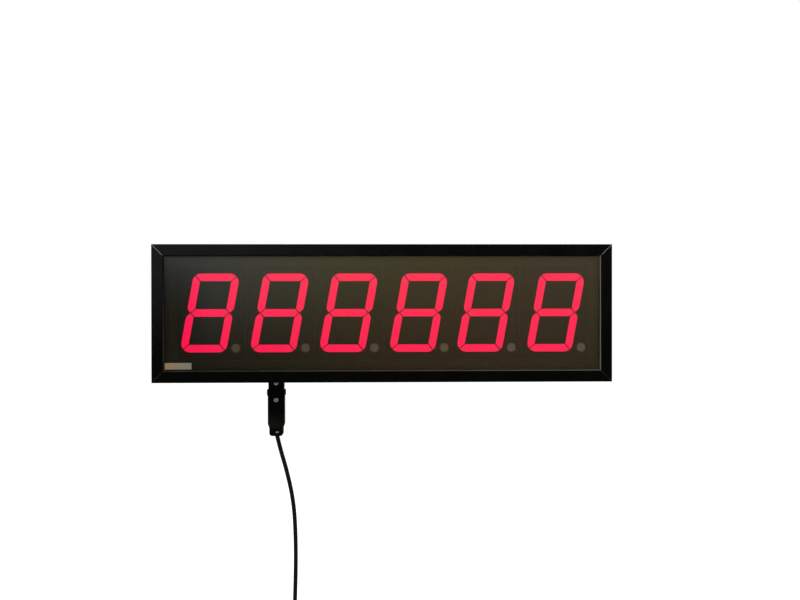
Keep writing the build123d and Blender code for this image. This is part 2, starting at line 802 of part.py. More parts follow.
def mains_plug():
    """A moulded round two-pin plug with side earth clips, hanging pins down."""
    x, foot = tail_x + tail_route[-1][0], coil_z + tail_route[-1][1]
    shoulder = foot - relief_length
    face = shoulder - mains_length
    half = mains_body / 2
    relief_top = cable / 2 + relief_wall
    profile = Polyline(
        (0, foot),
        (relief_top, foot),
        (relief_foot / 2, shoulder),
        (half - 5, shoulder - 8),
        (half - 0.8, shoulder - 20),
        (half, shoulder - 22),
        (half, face),
        (0, face),
        close=True,
    )
    body = revolve(Plane.XZ * make_face(profile), axis=Axis.Z)
    for side in (-1, 1):
        body -= Pos(side * (half + 3), 0, face + 9) * Box(8, 6.6, 26)
        body -= Pos(0, side * half, face + 9) * Box(earth_width + 0.4, 3.0, 18.2)
    for n in range(4):
        z = foot - 5 - n * 5.5
        body -= Pos(0, 0, z) * (Cylinder(9, 1.6) - Cylinder(relief_top - 0.6 + n * 0.45, 1.6))
    pins, clips = [], []
    for side in (-1, 1):
        pin_x = side * mains_pin_spacing / 2
        pin = upright(pin_x, 0, face - mains_pin_length, mains_pin, mains_pin_length + 8)
        pin = chamfer(pin.edges().sort_by(Axis.Z)[0], mains_pin / 4)
        body -= upright(pin_x, 0, face - 1, mains_pin, 9)
        pins.append(Pos(x, tail_y, 0) * pin)
        clip = Pos(0, side * (half - 1), face + 9) * Box(earth_width, 1.0, 18)
        clips.append(Pos(x, tail_y, 0) * clip)
    put(Pos(x, tail_y, 0) * body, "mains_plug")
    put(group(pins), "plug_pins")
    put(group(clips), "earth_clips")


frame()
corner_keys()
glazing()
rear_tray()
tray_screws()
wall_inserts()
digits()
display_board()
posts_and_screws()
electronics()
inlet()
connector()
cord()
mains_plug()
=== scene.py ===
# Numeric display: six red seven segment digits behind a smoked window, in a black frame.
import math
import bpy
import numpy as np
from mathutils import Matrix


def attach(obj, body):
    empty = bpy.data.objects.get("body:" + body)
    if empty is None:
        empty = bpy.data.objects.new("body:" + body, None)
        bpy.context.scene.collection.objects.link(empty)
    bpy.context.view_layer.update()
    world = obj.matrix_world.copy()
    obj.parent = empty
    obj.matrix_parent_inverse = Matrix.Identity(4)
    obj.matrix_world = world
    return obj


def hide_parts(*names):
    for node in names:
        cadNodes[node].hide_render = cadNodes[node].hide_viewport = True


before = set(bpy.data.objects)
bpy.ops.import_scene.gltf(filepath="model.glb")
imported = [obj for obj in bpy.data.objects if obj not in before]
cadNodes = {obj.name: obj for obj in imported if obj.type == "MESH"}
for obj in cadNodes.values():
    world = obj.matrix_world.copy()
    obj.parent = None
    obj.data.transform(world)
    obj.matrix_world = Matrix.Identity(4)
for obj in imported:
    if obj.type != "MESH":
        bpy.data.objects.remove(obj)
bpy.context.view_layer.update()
mm = 0.001
print("frame loaded:", len(cadNodes), "nodes")

# the camera stands a little left of the middle, level with the case
cameraSettings = {
    "place": (-0.0284, -1.575, 0.0267),
    "turn": (89.618, 0.065, -1.896),  # degrees
    "lens": 53.68,
    "sensor": 36,
}
cameraData = bpy.data.cameras.new("camera")
cameraData.lens = cameraSettings["lens"]
cameraData.sensor_width = cameraSettings["sensor"]
cameraObject = bpy.data.objects.new("camera", cameraData)
cameraObject.location = cameraSettings["place"]
cameraObject.rotation_euler = [math.radians(a) for a in cameraSettings["turn"]]
bpy.context.scene.collection.objects.link(cameraObject)
bpy.context.scene.camera = cameraObject

# the supply lead: down out of the connector, wound into a tied coil, and on to its plug
leadSettings = {
    "thick": 5.6,
    "length": 1.5,  # metres
    "start": (-137.4, -24.0, -159.1),  # foot of the connector
    "route": [  # across and up from the foot
        (-2.2, 13.3),
        (2.7, -10.7),
        (13.7, -47.7),
        (21.9, -86.7),
        (24.4, -126.7),
        (24.6, -169.7),
        (23.6, -207.3),
        (23.1, -224.3),
        (25.3, -232.7),
        (29.7, -240.2),
        (35.9, -246.4),
    ],
    "coilMiddle": (12.6, -262.7),  # across and up from the foot
    "coilFrom": 30.0,  # degrees travelled at the coil's first point
    "coilTo": 2200.0,
    "coilStep": 20.0,
    "coilStart": 45,  # degrees, where the travel is zero
    # each place of the wound turns: how far out, and its level in depth
    "places": [(28, -24), (28, -29.7), (28, -35.4), (33.7, -35.4), (33.7, -29.7),
               (39.3, -26.5), (39.3, -33.1), (38.83, -32.55)],
    "shifts": [335, 650, 965, 1280, 1595, 1920, 2185],  # degrees travelled half way through each change
    "shiftSpan": 40,
    "tail": [(38.83, -4.0), (39.33, -22.0), (39.33, -38.0)],  # from the coil's middle
    "tailDepth": -32.55,
}


# turn by turn: radius and depth step from place to place with a smooth 3t2 - 2t3 ramp
def coilPoints(lead, middleX, middleZ):
    travelled = np.arange(lead["coilFrom"], lead["coilTo"], lead["coilStep"])
    places = np.array(lead["places"], float)
    ramp = (travelled[:, None] - np.array(lead["shifts"])) / lead["shiftSpan"] + 0.5
    ramp = np.clip(ramp, 0, 1)
    ramp = ramp * ramp * (3 - 2 * ramp)
    radius, depth = (places[0] + ramp @ np.diff(places, axis=0)).T
    radius = radius / math.cos(math.radians(lead["coilStep"] / 2))  # the spline runs inside its points
    angle = np.radians(lead["coilStart"] - travelled)
    return np.stack([middleX + radius * np.cos(angle), depth, middleZ + radius * np.sin(angle)], 1)


# the chosen points of the route, the coil's turns, and the tail into the plug
def leadPoints(lead):
    startX, startY, startZ = lead["start"]
    middleX, middleZ = startX + lead["coilMiddle"][0], startZ + lead["coilMiddle"][1]
    way = [(startX + x, startY, startZ + z) for x, z in lead["route"]]
    tail = [(middleX + x, lead["tailDepth"], middleZ + z) for x, z in lead["tail"]]
    return np.vstack([way, coilPoints(lead, middleX, middleZ), tail]) * mm


# a NURBS curve, round in section, with closed ends
def splineCurve(name, points, thick):
    curve = bpy.data.curves.new(name, "CURVE")
    curve.dimensions = "3D"
    spline = curve.splines.new("NURBS")
    spline.points.add(len(points) - 1)
    spline.points.foreach_set("co", np.hstack([points, np.ones((len(points), 1))]).ravel())
    spline.order_u = 3
    spline.use_endpoint_u = True
    spline.resolution_u = 8
    spline.points.foreach_set("radius", np.full(len(points), thick / 2))
    curve.bevel_depth = 1  # times each point's own radius
    curve.bevel_resolution = 5
    curve.use_fill_caps = True
    piece = bpy.data.objects.new(name, curve)
    bpy.context.scene.collection.objects.link(piece)
    return piece


supplyLead = splineCurve("supplyLead", leadPoints(leadSettings), leadSettings["thick"] * mm)
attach(supplyLead, "root")
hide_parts("supply_cable", "cable_coil", "cable_tail")
print("camera and supply lead made")


# faces between rows of points, each row closed around, wound so that they face outwards
def ringQuads(rows, columns):
    index = np.arange(rows * columns).reshape(rows, columns)
    nextColumn = np.roll(index, -1, axis=1)
    return np.stack([index[:-1], index[1:], nextColumn[1:], nextColumn[:-1]], -1).reshape(-1, 4)


# a piece from points in millimetres; the weld closes the poles
def meshPiece(name, points, quads, replaced=()):
    mesh = bpy.data.meshes.new(name)
    mesh.from_pydata((points * mm).tolist(), [], quads.tolist())
    mesh.update()
    piece = bpy.data.objects.new(name, mesh)
    bpy.context.scene.collection.objects.link(piece)
    weld = piece.modifiers.new("weld", "WELD")
    weld.merge_threshold = 0.00001
    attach(piece, "root")
    if replaced:
        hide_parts(*replaced)
    return piece


# points[i, j] is the surface at step i along and step j around; both ends close on a pole
def gridPiece(name, points, replaced=()):
    return meshPiece(name, points.reshape(-1, 3), ringQuads(*points.shape[:2]), replaced)


# screw heads with a cross recess; the CAD's shanks are out of sight
screwSettings = {
    "rise": 1.5,
    "fall": 0.35,  # share of the rise that the edge lies lower
    "crossHalf": 0.5,  # half the width of one arm
    "crossReach": 1.6,
    "crossDeep": 1.0,
    "sideSlope": 0.16,  # widths of the recess's sloped sides and ends
    "endSlope": 0.3,
    "around": 72,
    "rings": 34,
    "ringsTo": 0.94,  # share of the radius
    "rimRings": [0.975, 1.0],
}


# 1 inside an arm of the cross, 0 outside, with sloped sides
def inArm(beside, along, screw):
    across = np.clip((screw["crossHalf"] - np.abs(beside)) / screw["sideSlope"] + 0.5, 0, 1)
    return across * np.clip((screw["crossReach"] - np.abs(along)) / screw["endSlope"] + 0.5, 0, 1)


# radius u and angle a: the height is rise * (1 - fall * u4), less the cross where it is sunk
def screwHead(across, turned, screw):
    a = np.linspace(0, 2 * np.pi, screw["around"], endpoint=False)
    u = np.concatenate([np.linspace(0, screw["ringsTo"], screw["rings"]), screw["rimRings"]])
    radius = np.outer(u, np.ones_like(a)) * across / 2
    x, y = radius * np.cos(a), radius * np.sin(a)
    along = x * math.cos(turned) + y * math.sin(turned)
    beside = y * math.cos(turned) - x * math.sin(turned)
    sunk = np.maximum(inArm(along, beside, screw), inArm(beside, along, screw))
    height = screw["rise"] * (1 - screw["fall"] * (u[:, None] ** 4)) - screw["crossDeep"] * sunk
    side = np.stack([x[-1], y[-1], np.zeros_like(a)], -1)[None]
    base = np.zeros_like(side)
    return np.concatenate([np.stack([x, y, height], -1), side, base])


# a head moved to its place, looking to the front (-1) or to the back (1)
def placedHead(place, across, turned, looks):
    x, y, z = place
    points = screwHead(across, turned, screwSettings)
    return np.stack([x - looks * points[..., 0], y + looks * points[..., 2], z + points[..., 1]], -1)


# the bare plate, with a rounded outline and a softened rim
labelSettings = {
    "low": (-273.8, -70.2),
    "high": (-240.3, -61.9),
    "face": -71.6,  # front of the window
    "thick": 0.35,
    "corner": 0.8,
    "cornerPoints": 9,
    "rim": [(0.14, 1.0), (0.04, 0.86), (0.0, 0.55), (0.0, 0.0)],  # inset, and share of the thickness
}


# an outline of four quarter arcs, carried from the middle over the rim to the back's middle
def labelPlate(label):
    middleX = (label["high"][0] + label["low"][0]) / 2
    middleZ = (label["high"][1] + label["low"][1]) / 2
    straightX = label["high"][0] - middleX - label["corner"]
    straightZ = label["high"][1] - middleZ - label["corner"]
    quarter = np.linspace(0, np.pi / 2, label["cornerPoints"])
    turn = np.concatenate([quarter + k * np.pi / 2 for k in range(4)])
    signX = np.repeat([1, -1, -1, 1], label["cornerPoints"])
    signZ = np.repeat([1, 1, -1, -1], label["cornerPoints"])
    rows = []
    for inset, share in [label["rim"][0], *label["rim"], label["rim"][-1]]:
        corner = label["corner"] - inset
        x = middleX + signX * straightX + corner * np.cos(turn)
        z = middleZ + signZ * straightZ + corner * np.sin(turn)
        rows.append(np.stack([x, np.full_like(x, label["face"] - label["thick"] * share), z], -1))
    points = np.array(rows)
    # the first and the last row shrink to a pole
    points[[0, -1], :, 0], points[[0, -1], :, 2] = middleX, middleZ
    return points


gridPiece("labelPlate", labelPlate(labelSettings))

# the two screws seen from the front
frontSettings = {
    "across": 5.8,
    "heads": [  # name, place, degrees turned, and the CAD screw that it replaces
        ("inletScrewHead", (-137.4, -32.0, -90.3), 20, "inlet_screw"),
        ("connectorScrewHead", (-137.4, -32.5, -112.1), 48, "connector_screw"),
    ],
}
for name, place, turned, replaced in frontSettings["heads"]:
    head = placedHead(place, frontSettings["across"], math.radians(turned), -1)
    gridPiece(name, head, [replaced])

# the tray's screws, seen from behind, all alike but each turned its own way
traySettings = {
    "across": 6.4,
    "seat": -43.8,
    "columns": (-217.49, -72.50, 72.50, 217.49),
    "rows": (-79.8, 79.8),
    "endColumns": (-282.79, 282.79),
    "endRows": (-43.5, 43.5),
    "seed": 7,
}


# the head's surface, moved to each place and turned by a seeded angle about its own axis
def trayHeads(tray):
    places = [(x, tray["seat"], z) for x in tray["columns"] for z in tray["rows"]]
    places += [(x, tray["seat"], z) for x in tray["endColumns"] for z in tray["endRows"]]
    turns = np.random.default_rng(tray["seed"]).uniform(0, np.pi / 2, len(places))
    return np.array([placedHead(place, tray["across"], turned, 1)
                     for place, turned in zip(places, turns)])


heads = trayHeads(traySettings)
firstPoints = np.arange(len(heads)) * heads.shape[1] * heads.shape[2]
headQuads = firstPoints[:, None, None] + ringQuads(*heads.shape[1:3])
meshPiece("trayScrewHeads", heads.reshape(-1, 3), headQuads.reshape(-1, 4), ["tray_screws"])

# the lit bars, with round outer corners
barSettings = {
    "middles": (-217.85, -130.35, -43.35, 45.15, 130.45, 219.45),
    "level": 0.6,  # height of every digit's middle
    "face": -66.0,  # front of the digit cases
    "halfWide": 29.2,
    "halfHigh": 49.75,
    "stroke": 9.7,
    "gap": 0.66,  # from a mitre's middle to either bar, along the stroke
    "slant": 10.4,  # degrees
    "cornerRound": 11.2,
    "cornerPoints": 10,
    "waistReach": 2.8,
    "waistPoints": 7,
    "proud": 0.15,
    "deep": 2.8,
    "rim": 0.3,
    "rimBend": 0.3,  # share of the rim at the middle of its round
    "backInset": 0.2,  # how much the back is drawn in
    "searchPoints": 400,  # on the arc, to find where the mitre crosses it
}


# every point moved across by its height times the tangent of the slant
def leaned(bar, points):
    points = np.array(points, float)
    return points + points[:, 1:] * np.array([math.tan(math.radians(bar["slant"])), 0])


# an arc touching the level edge and the leaning edge, parted where the mitre crosses it
def cornerArcs(bar, signX, signZ):
    slant = math.radians(bar["slant"])
    corner = leaned(bar, [[signX * bar["halfWide"], signZ * bar["halfHigh"]]])[0]
    levelEdge = np.array([-signX, 0.0])
    leaningEdge = -signZ * np.array([math.sin(slant), math.cos(slant)])
    halfAngle = math.acos(levelEdge @ leaningEdge) / 2
    inwards = (levelEdge + leaningEdge) / np.linalg.norm(levelEdge + leaningEdge)
    middle = corner + inwards * bar["cornerRound"] / math.sin(halfAngle)
    toLevel = np.array([0.0, signZ])
    toLeaning = signX * np.array([math.cos(slant), -math.sin(slant)])
    swing = math.acos(toLevel @ toLeaning)

    # points of the arc at shares of its length, from the level edge to the leaning one
    def arc(start, end, count):
        share = np.linspace(start, end, count)[:, None]
        towards = np.sin((1 - share) * swing) * toLevel + np.sin(share * swing) * toLeaning
        return middle + bar["cornerRound"] * towards / math.sin(swing)

    x, z = arc(0, 1, bar["searchPoints"]).T
    upright = x - z * math.tan(slant)
    pastMitre = (signX * upright - bar["halfWide"]) - (signZ * z - bar["halfHigh"])
    shares = np.linspace(0, 1, bar["searchPoints"])
    levelEnd, leaningEnd = np.interp([-bar["gap"], bar["gap"]], pastMitre, shares)
    return arc(0, levelEnd, bar["cornerPoints"]), arc(leaningEnd, 1, bar["cornerPoints"])


# a corner drawn as a quadratic curve from reach before it to reach after it
def softCorner(before, corner, after, reach, count):
    t = np.linspace(0, 1, count)[:, None]
    start = corner + (before - corner) * reach / np.linalg.norm(before - corner)
    end = corner + (after - corner) * reach / np.linalg.norm(after - corner)
    return (1 - t) ** 2 * start + 2 * t * (1 - t) * corner + t ** 2 * end


# outline of the top or the bottom bar: two mitred ends and the round corners
def levelBar(bar, signZ):
    halfInner = bar["halfWide"] - bar["stroke"] - bar["gap"]
    inner = signZ * (bar["halfHigh"] - bar["stroke"])
    ends = leaned(bar, [[-halfInner, inner], [halfInner, inner]])
    left, right = (cornerArcs(bar, side, signZ)[0] for side in (-1, 1))
    return np.vstack([ends[:1], left[::-1], right, ends[1:]])


# outline of a side bar: its half of the round corner, then the pointed end at the waist
def sideBar(bar, signX, signZ):
    a, b, t, h = (bar[key] for key in ("halfWide", "halfHigh", "stroke", "gap"))
    arc = cornerArcs(bar, signX, signZ)[1]
    low = [[a, t / 2], [a - (t - h) / 2, h / 2], [a - t, t / 2 + h], [a - t, b - t - h]]
    low = leaned(bar, np.array(low) * [signX, signZ])
    waist = softCorner(arc[-1], low[0], low[1], bar["waistReach"], bar["waistPoints"])
    return np.vstack([arc, waist, low[1:]])


# outline of the middle bar, pointed at both ends
def waistBar(bar):
    a, t, h = bar["halfWide"], bar["stroke"], bar["gap"]
    right = [[a - t - h, -t / 2], [a - t / 2 - h, 0], [a - t - h, t / 2]]
    return leaned(bar, right + [[-x, -z] for x, z in right])


# rings from the middle of the face over the rim to the middle of the back:
# each step is an inset along the edge's normal and a depth, and no inset means the middle
def cast(outline, front, steps):
    x, z = outline.T
    if np.sum(x * np.roll(z, -1) - np.roll(x, -1) * z) < 0:
        outline = outline[::-1]
    along = np.roll(outline, -1, axis=0) - np.roll(outline, 1, axis=0)
    inward = np.stack([-along[:, 1], along[:, 0]], -1) / np.linalg.norm(along, axis=1)[:, None]
    rings = []
    for inset, depth in steps:
        ring = outline * 0 + outline.mean(axis=0) if inset is None else outline + inward * inset
        rings.append(np.stack([ring[:, 0], np.full(len(ring), front + depth), ring[:, 1]], -1))
    return np.array(rings)


# the same bodies set at every digit's middle
def atEachDigit(name, bodies, bar, replaced=()):
    points, quads, first = [], [], 0
    for body in bodies:
        points.append(body.reshape(-1, 3))
        quads.append(ringQuads(*body.shape[:2]) + first)
        first += len(points[-1])
    places = np.array([(x, 0, bar["level"]) for x in bar["middles"]])
    allPoints = (places[:, None] + np.vstack(points)).reshape(-1, 3)
    allQuads = (np.arange(len(places))[:, None, None] * first + np.vstack(quads)).reshape(-1, 4)
    return meshPiece(name, allPoints, allQuads, replaced)


# the seven bars of one digit, each a cast body with a rounded rim
def litBodies(bar):
    outlines = [levelBar(bar, 1), levelBar(bar, -1), waistBar(bar)]
    outlines += [sideBar(bar, x, z) for x in (-1, 1) for z in (-1, 1)]
    rim, bend = bar["rim"], bar["rim"] * bar["rimBend"]
    back = bar["deep"] + bar["proud"]
    steps = [(None, 0), (rim, 0), (bend, bend), (0, rim), (bar["backInset"], back), (None, back)]
    return [cast(outline, bar["face"] - bar["proud"], steps) for outline in outlines]


digitNodes = [f"digit_segments_{number}" for number in range(1, 7)]
atEachDigit("litBars", litBodies(barSettings), barSettings, digitNodes)

# the thin dark sheet on each digit's case, that the bars stand through
sheetSettings = {
    "past": 0.6,  # how far it reaches past the bars
    "cut": 6.1,  # its corners
    "proud": 0.06,
    "rim": 0.05,
    "thick": 0.3,
}


# an eight sided outline, leaned like the bars, with a small chamfer round its face
def darkSheet(sheet, bar):
    halfWide, halfHigh = bar["halfWide"] + sheet["past"], bar["halfHigh"] + sheet["past"]
    quarter = [(halfWide, halfHigh - sheet["cut"]), (halfWide - sheet["cut"], halfHigh)]
    upper = quarter + [(-x, z) for x, z in quarter[::-1]]
    outline = leaned(bar, upper + [(-x, -z) for x, z in upper])
    steps = [(None, 0), (sheet["rim"], 0), (0, sheet["rim"]), (0, sheet["thick"]), (None, sheet["thick"])]
    return cast(outline, bar["face"] - sheet["proud"], steps)


atEachDigit("digitSheets", [darkSheet(sheetSettings, barSettings)], barSettings)

# the worn end of the clamp's bar, a small oval on the connector's foot
clampSettings = {
    "middle": (-136.0, -32.4, -153.9),
    "halfLong": 2.3,
    "halfHigh": 1.3,
    "rise": 0.55,
    "deep": 0.5,
    "turned": 8,  # degrees
    "around": 48,
    "rings": 14,
}


# an oval dome: the rise is rise * (1 - u4) at the share u of the oval's outline
def clampEnd(clamp):
    a = np.linspace(0, 2 * np.pi, clamp["around"], endpoint=False)
    u = np.linspace(0, 1, clamp["rings"])
    along = np.outer(u, np.cos(a)) * clamp["halfLong"]
    across = np.outer(u, np.sin(a)) * clamp["halfHigh"]
    turned = math.radians(clamp["turned"])
    x = along * math.cos(turned) - across * math.sin(turned)
    z = along * math.sin(turned) + across * math.cos(turned)
    y = -clamp["rise"] * (1 - u[:, None] ** 4) + 0 * x
    dome = np.stack([x, y, z], -1)
    foot = dome[-1:] + np.array([0, clamp["deep"], 0])
    back = np.broadcast_to(np.array([0, clamp["deep"], 0]), foot.shape)
    return np.concatenate([dome, foot, back]) + np.array(clamp["middle"])


gridPiece("clampEnd", clampEnd(clampSettings))
print("plates, screw heads and lit bars made")


# a new node material, with its tree and its shader
def startMaterial(name):
    material = bpy.data.materials.new(name + "_finish")
    material.use_nodes = True
    tree = material.node_tree
    return material, tree, tree.nodes["Principled BSDF"]


# the piece's own x, y and z, in metres
def ownPlace(tree):
    place = tree.nodes.new("ShaderNodeTexCoord")
    split = tree.nodes.new("ShaderNodeSeparateXYZ")
    tree.links.new(place.outputs["Object"], split.inputs["Vector"])
    return split.outputs


# noise read from the piece's own coordinates; scale is in features per metre
def noise(tree, scale, detail, stretch=(1, 1, 1)):
    place = tree.nodes.new("ShaderNodeTexCoord")
    mapping = tree.nodes.new("ShaderNodeMapping")
    mapping.inputs["Scale"].default_value = stretch
    tree.links.new(place.outputs["Object"], mapping.inputs["Vector"])
    texture = tree.nodes.new("ShaderNodeTexNoise")
    texture.inputs["Scale"].default_value = scale
    texture.inputs["Detail"].default_value = detail
    tree.links.new(mapping.outputs["Vector"], texture.inputs["Vector"])
    return texture.outputs["Fac"]


# a socket is linked, a colour or a number is set
def feed(tree, value, socket):
    if isinstance(value, bpy.types.NodeSocket):
        tree.links.new(value, socket)
    elif isinstance(value, tuple):
        socket.default_value = (*value, 1)
    else:
        socket.default_value = value


# from the first colour to the second as the factor goes from 0 to 1
def mixColour(tree, factor, first, second):
    mix = tree.nodes.new("ShaderNodeMix")
    mix.data_type = "RGBA"
    inputs = [socket for socket in mix.inputs if socket.enabled]
    for value, socket in zip((factor, first, second), inputs):
        feed(tree, value, socket)
    return [socket for socket in mix.outputs if socket.enabled][0]


# a straight run from low to high while the source goes between two values, flat outside them
def spread(tree, source, low, high, fromLow=0.35, fromHigh=0.65):
    ranged = tree.nodes.new("ShaderNodeMapRange")
    ranged.inputs["From Min"].default_value = fromLow
    ranged.inputs["From Max"].default_value = fromHigh
    ranged.inputs["To Min"].default_value = low
    ranged.inputs["To Max"].default_value = high
    tree.links.new(source, ranged.inputs["Value"])
    return ranged.outputs["Result"]


# a math node of the given operation, fed with sockets or numbers
def maths(tree, kind, *values):
    node = tree.nodes.new("ShaderNodeMath")
    node.operation = kind
    for value, socket in zip(values, node.inputs):
        feed(tree, value, socket)
    return node.outputs[0]


# all the values multiplied
def product(tree, first, *others):
    for other in others:
        first = maths(tree, "MULTIPLY", first, other)
    return first


# noise about zero, times an amount
def mottle(tree, amount, scale, detail, stretch=(1, 1, 1)):
    return product(tree, maths(tree, "SUBTRACT", noise(tree, scale, detail, stretch), 0.5), amount)


# what the finishes share: noisy roughness between two values, gloss, and a fine bump
def skin(tree, shader, finish):
    rough = noise(tree, *finish["roughNoise"])
    tree.links.new(spread(tree, rough, *finish["rough"]), shader.inputs["Roughness"])
    shader.inputs["Specular IOR Level"].default_value = finish.get("gloss", 0.5)
    shader.inputs["Metallic"].default_value = finish.get("metal", 0)
    strength, distance = finish["bump"]
    node = tree.nodes.new("ShaderNodeBump")
    node.inputs["Strength"].default_value = strength
    node.inputs["Distance"].default_value = distance
    tree.links.new(noise(tree, *finish["bumpNoise"]), node.inputs["Height"])
    tree.links.new(node.outputs["Normal"], shader.inputs["Normal"])


# what the plain finishes share, where one of them doesn't say otherwise
plainFinish = {
    "stretch": (1, 1, 1),
    "colourDetail": 5,
    "roughTimes": 2.3,  # how much finer the noise of the roughness is than that of the colour
    "roughDetail": 3,
    "grainDetail": 2,
    "gloss": 0.3,
    "metal": 0,
    "bump": 0.2,
    "bumpDeep": 0.0002,
}


# two close colours by noise; size and grain are in features per metre
def grained(name, own):
    finish = {**plainFinish, **own}
    material, tree, shader = startMaterial(name)
    stretch = finish["stretch"]
    wide = spread(tree, noise(tree, finish["size"], finish["colourDetail"], stretch), 0, 1)
    colour = mixColour(tree, wide, finish["colour"], finish["second"])
    tree.links.new(colour, shader.inputs["Base Color"])
    skin(tree, shader, {
        "rough": finish["rough"],
        "roughNoise": (finish["size"] * finish["roughTimes"], finish["roughDetail"], stretch),
        "gloss": finish["gloss"],
        "metal": finish["metal"],
        "bump": (finish["bump"], finish["bumpDeep"]),
        "bumpNoise": (finish["grain"], finish["grainDetail"], stretch),
    })
    return material


# the plain finishes, by slot
finishes = {
    "alloy": {"colour": (0.55, 0.55, 0.54), "second": (0.45, 0.45, 0.44), "size": 90, "grain": 1500,
              "rough": (0.3, 0.45), "metal": 1, "stretch": (0.05, 1, 1)},
    "tray_black": {"colour": (0.0115, 0.0115, 0.0115), "second": (0.0135, 0.0135, 0.013), "size": 320,
                   "grain": 1400, "rough": (0.42, 0.55), "bump": 0.5, "gloss": 0.12},
    "zinc_steel": {"colour": (0.16, 0.16, 0.155), "second": (0.105, 0.105, 0.105), "size": 500,
                   "grain": 3000, "rough": (0.25, 0.42), "metal": 1},
    "digit_black": {"colour": (0.006, 0.0055, 0.0045), "second": (0.008, 0.007, 0.0055), "size": 70,
                    "grain": 3200, "rough": (0.6, 0.75), "gloss": 0.05, "bump": 0.05},
    "board_green": {"colour": (0.02, 0.13, 0.05), "second": (0.03, 0.18, 0.08), "size": 300,
                    "grain": 1800, "rough": (0.25, 0.4)},
    "chip_pale": {"colour": (0.78, 0.76, 0.58), "second": (0.7, 0.66, 0.46), "size": 700,
                  "grain": 3000, "rough": (0.15, 0.3)},
    "pin_tin": {"colour": (0.42, 0.42, 0.41), "second": (0.32, 0.32, 0.31), "size": 500,
                "grain": 3000, "rough": (0.2, 0.35), "metal": 1},
    "chip_black": {"colour": (0.03, 0.03, 0.03), "second": (0.04, 0.04, 0.04), "size": 400,
                   "grain": 3000, "rough": (0.5, 0.65)},
    "ribbon_grey": {"colour": (0.42, 0.42, 0.42), "second": (0.34, 0.34, 0.34), "size": 250,
                    "grain": 800, "rough": (0.4, 0.55), "stretch": (1, 1, 0.1)},
    "can_dark": {"colour": (0.03, 0.04, 0.09), "second": (0.05, 0.06, 0.12), "size": 300,
                 "grain": 2000, "rough": (0.2, 0.35)},
    "terminal_green": {"colour": (0.04, 0.33, 0.1), "second": (0.06, 0.38, 0.14), "size": 300,
                       "grain": 2500, "rough": (0.35, 0.5)},
    "wire_sheath": {"colour": (0.06, 0.12, 0.42), "second": (0.1, 0.17, 0.5), "size": 400,
                    "grain": 2500, "rough": (0.3, 0.45)},
    "contact_brass": {"colour": (0.72, 0.56, 0.26), "second": (0.6, 0.45, 0.2), "size": 500,
                      "grain": 3000, "rough": (0.2, 0.35), "metal": 1},
    "cable_black": {"colour": (0.0012, 0.0012, 0.0012), "second": (0.003, 0.003, 0.0028), "size": 260,
                    "grain": 1500, "rough": (0.16, 0.3), "gloss": 0.05},
}
materials = {slot: grained(slot, finish) for slot, finish in finishes.items()}

# in the finishes below, four numbers are a run for spread: two values, and the two places in metres
# where they are reached; a noise is its features per metre, its detail and how it is stretched

# the bead's colour holds painted shade under the top lip, and painted light along the foot and the right
# side, where the lamp at the upper left falls
beadFinish = {
    # the colour of the painted shade under the lip, then that of the painted light
    "dark": (0.002, 0.002, 0.0015),
    "pale": (0.2, 0.196, 0.165),
    "down": (1, 0, -0.0735, 0.07),
    "right": (0.17, 0.56, -0.2, 0.2765),
    "soften": (0, 1, 0.02, 0.6),  # of the run down, not in metres
    "rightEnd": (0, 1, 0.274, 0.2752),
    "mottle": 0.045,
    "mottleNoise": (60, 4),
    "rough": (0.4, 0.6),
    "roughNoise": (300, 3),
    "gloss": 0.03,
    "bump": (0.2, 0.0002),
    "bumpNoise": (2500, 2),
}


# painted light and shade: paler towards the foot and the right, by a straight run in x and z, and dark
# under the top lip
def beadWithPaintedLight(finish):
    material, tree, shader = startMaterial("bead_grey")
    x, _, z = ownPlace(tree)
    down = spread(tree, spread(tree, z, *finish["down"]), *finish["soften"])
    # painted light: the tone rises towards the foot and the right; painted shade stays under the top lip
    tone = product(tree, down, spread(tree, x, *finish["right"]))
    tone = maths(tree, "MAXIMUM", tone, spread(tree, x, *finish["rightEnd"]))
    cloud = spread(tree, noise(tree, *finish["mottleNoise"]), -finish["mottle"], finish["mottle"])
    tone = maths(tree, "ADD", tone, cloud)
    tree.links.new(mixColour(tree, tone, finish["dark"], finish["pale"]), shader.inputs["Base Color"])
    skin(tree, shader, finish)
    return material


materials["bead_grey"] = beadWithPaintedLight(beadFinish)

# moulded black shells, with a painted sheen low on the connector, a highlight put into the colour,
# stronger at its left
shellFinish = {
    "colour": (0.0006, 0.0006, 0.0006),
    # the colour of the painted sheen
    "second": (0.0064, 0.0066, 0.0054),
    "rise": (0, 1, -0.126, -0.143),
    "fall": (0.25, 1, -0.15, -0.147),
    "foot": (0, 1, -0.162, -0.16),
    "left": (1, 0.55, -0.1475, -0.128),
    "mottle": 0.12,
    "mottleNoise": (220, 5),
    "rough": (0.34, 0.5),
    "roughNoise": (500, 3),
    "gloss": 0.012,
    "bump": (0.3, 0.0002),
    "bumpNoise": (3600, 2),
}


# the painted sheen, a highlight in the base colour, rises and falls with height over a band just above
# the connector's neck
def shellWithPaintedSheen(finish):
    material, tree, shader = startMaterial("connector_black")
    x, _, z = ownPlace(tree)
    band = [spread(tree, z, *finish[run]) for run in ("rise", "fall", "foot")]
    paintedSheen = product(tree, *band, spread(tree, x, *finish["left"]))
    cloud = spread(tree, noise(tree, *finish["mottleNoise"]), 0, finish["mottle"])
    tone = maths(tree, "ADD", paintedSheen, cloud)
    tree.links.new(mixColour(tree, tone, finish["colour"], finish["second"]), shader.inputs["Base Color"])
    skin(tree, shader, finish)
    return material


materials["connector_black"] = shellWithPaintedSheen(shellFinish)
